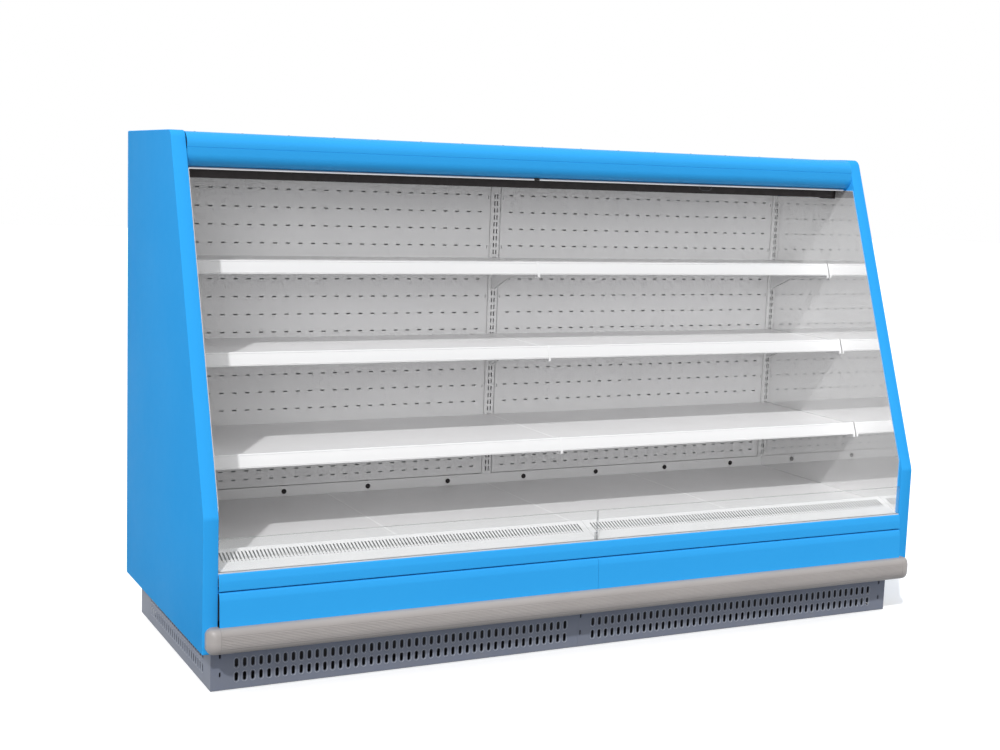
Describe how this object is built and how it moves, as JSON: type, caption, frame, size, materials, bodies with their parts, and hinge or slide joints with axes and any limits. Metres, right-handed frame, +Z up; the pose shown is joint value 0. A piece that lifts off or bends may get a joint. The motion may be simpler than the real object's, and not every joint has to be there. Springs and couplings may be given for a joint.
{
  "type": "open multideck display fridge",
  "caption": "Open-fronted refrigerated wall case with shelves over a deck, low front glass, slotted air grilles, roll-down night blinds, buffer rail and slotted plinth.",
  "frame": {"origin": "centre of the footprint, on the floor", "axes": "+X along the case to its right as seen from the open front, -Y out of the open front, +Z up"},
  "size_m": [2.59, 1, 1.625],
  "materials": {
    "blue_end": "satin",
    "blue_steel": "gloss",
    "white_steel": "gloss",
    "grey_steel": "satin",
    "foamed_liner": "satin",
    "bumper": "matt",
    "black_plastic": "matt",
    "mirror": "polished",
    "glass": "clear",
    "aluminium": "satin",
    "zinc_steel": "satin",
    "black_steel": "satin",
    "rail_plastic": "gloss",
    "blind_fabric": "woven"
  },
  "bodies": {
    "cabinet": {"base_frame": "zinc_steel", "levelling_feet": "zinc_steel", "plinth_front_left": "grey_steel", "plinth_front_right": "grey_steel", "plinth_side_left": "grey_steel", "plinth_side_right": "grey_steel", "insulated_tub": "foamed_liner", "rear_wall": "foamed_liner", "roof_panel": "foamed_liner", "end_panel_left": "blue_end", "end_panel_right": "blue_end", "end_mirrors": "mirror", "canopy_fascia": "blue_steel", "discharge_honeycomb": "black_plastic", "top_liner": "white_steel", "upright_left": "white_steel", "upright_centre": "white_steel", "upright_right": "white_steel", "back_panel_left": "white_steel", "back_panel_right": "white_steel", "back_sill": "white_steel", "back_plugs": "black_plastic", "upper_fascia": "blue_steel", "lower_fascia_left": "blue_steel", "lower_fascia_right": "blue_steel", "bumper_rail": "bumper", "bumper_end_caps": "bumper", "front_glass": "glass", "glass_channel": "aluminium", "shelf_pans_bottom": "white_steel", "shelf_pans_middle": "white_steel", "shelf_pans_top": "white_steel", "price_rails_bottom": "rail_plastic", "price_rails_middle": "rail_plastic", "price_rails_top": "rail_plastic", "shelf_brackets": "white_steel", "evaporator_coil": "aluminium", "fan_plate": "zinc_steel", "evaporator_fan_motors": "black_steel", "unit_base": "zinc_steel", "compressor": "black_steel", "condenser_coil": "aluminium", "condenser_fan_motor": "black_steel", "electrical_box": "rail_plastic", "blind_brackets": "zinc_steel", "blind_clip": "black_plastic"},
    "blind_roller_left_body": {"blind_roller_left": "blind_fabric"},
    "blind_roller_right_body": {"blind_roller_right": "blind_fabric"},
    "blind_bar_left_body": {"blind_bar_left": "aluminium"},
    "blind_bar_right_body": {"blind_bar_right": "aluminium"},
    "evaporator_fan_left_body": {"evaporator_fan_left": "black_plastic"},
    "evaporator_fan_centre_body": {"evaporator_fan_centre": "black_plastic"},
    "evaporator_fan_right_body": {"evaporator_fan_right": "black_plastic"},
    "condenser_fan_body": {"condenser_fan": "black_plastic"},
    "deck_tray_1_body": {"deck_tray_1": "white_steel"},
    "deck_tray_2_body": {"deck_tray_2": "white_steel"},
    "deck_tray_3_body": {"deck_tray_3": "white_steel"},
    "deck_tray_4_body": {"deck_tray_4": "white_steel"},
    "return_grille_left_body": {"return_grille_left": "white_steel"},
    "return_grille_right_body": {"return_grille_right": "white_steel"}
  },
  "joints": [
    {"name": "blind_left_pull", "type": "slide", "parent": "cabinet", "child": "blind_bar_left_body", "axis": [0, -0.3582, -0.9336], "range_m": [0, 1.1], "stiffness_N_per_m": 12, "springref_m": -1},
    {"name": "blind_left_roll", "type": "hinge", "parent": "cabinet", "child": "blind_roller_left_body", "pos_m": [-0.6, -0.011, 1.553], "axis": [1, 0, 0], "range_deg": [0, 3318]},
    {"name": "blind_right_pull", "type": "slide", "parent": "cabinet", "child": "blind_bar_right_body", "axis": [0, -0.3582, -0.9336], "range_m": [0, 1.1], "stiffness_N_per_m": 12, "springref_m": -1},
    {"name": "blind_right_roll", "type": "hinge", "parent": "cabinet", "child": "blind_roller_right_body", "pos_m": [0.6, -0.011, 1.553], "axis": [1, 0, 0], "range_deg": [0, 3318]},
    {"name": "evaporator_fan_left_spin", "type": "hinge", "parent": "cabinet", "child": "evaporator_fan_left_body", "pos_m": [-0.83333, -0.2495, 0.3165], "axis": [0, 0.4987, 0.8668], "continuous": true},
    {"name": "evaporator_fan_centre_spin", "type": "hinge", "parent": "cabinet", "child": "evaporator_fan_centre_body", "pos_m": [0, -0.2495, 0.3165], "axis": [0, 0.4987, 0.8668], "continuous": true},
    {"name": "evaporator_fan_right_spin", "type": "hinge", "parent": "cabinet", "child": "evaporator_fan_right_body", "pos_m": [0.83333, -0.2495, 0.3165], "axis": [0, 0.4987, 0.8668], "continuous": true},
    {"name": "condenser_fan_spin", "type": "hinge", "parent": "cabinet", "child": "condenser_fan_body", "pos_m": [0.6, -0.198, 0.1395], "axis": [0, -1, 0], "continuous": true},
    {"name": "deck_tray_1_lift", "type": "slide", "parent": "cabinet", "child": "deck_tray_1_body", "axis": [0, 0, 1], "range_m": [0, 0.14]},
    {"name": "deck_tray_2_lift", "type": "slide", "parent": "cabinet", "child": "deck_tray_2_body", "axis": [0, 0, 1], "range_m": [0, 0.14]},
    {"name": "deck_tray_3_lift", "type": "slide", "parent": "cabinet", "child": "deck_tray_3_body", "axis": [0, 0, 1], "range_m": [0, 0.14]},
    {"name": "deck_tray_4_lift", "type": "slide", "parent": "cabinet", "child": "deck_tray_4_body", "axis": [0, 0, 1], "range_m": [0, 0.14]},
    {"name": "return_grille_left_lift", "type": "slide", "parent": "cabinet", "child": "return_grille_left_body", "axis": [0, 0, 1], "range_m": [0, 0.15]},
    {"name": "return_grille_right_lift", "type": "slide", "parent": "cabinet", "child": "return_grille_right_body", "axis": [0, 0, 1], "range_m": [0, 0.15]}
  ],
  "couplings": [
    {"joint": "blind_left_roll", "follows": "blind_left_pull", "rad_per_m": 52.632},
    {"joint": "blind_right_roll", "follows": "blind_right_pull", "rad_per_m": 52.632}
  ]
}
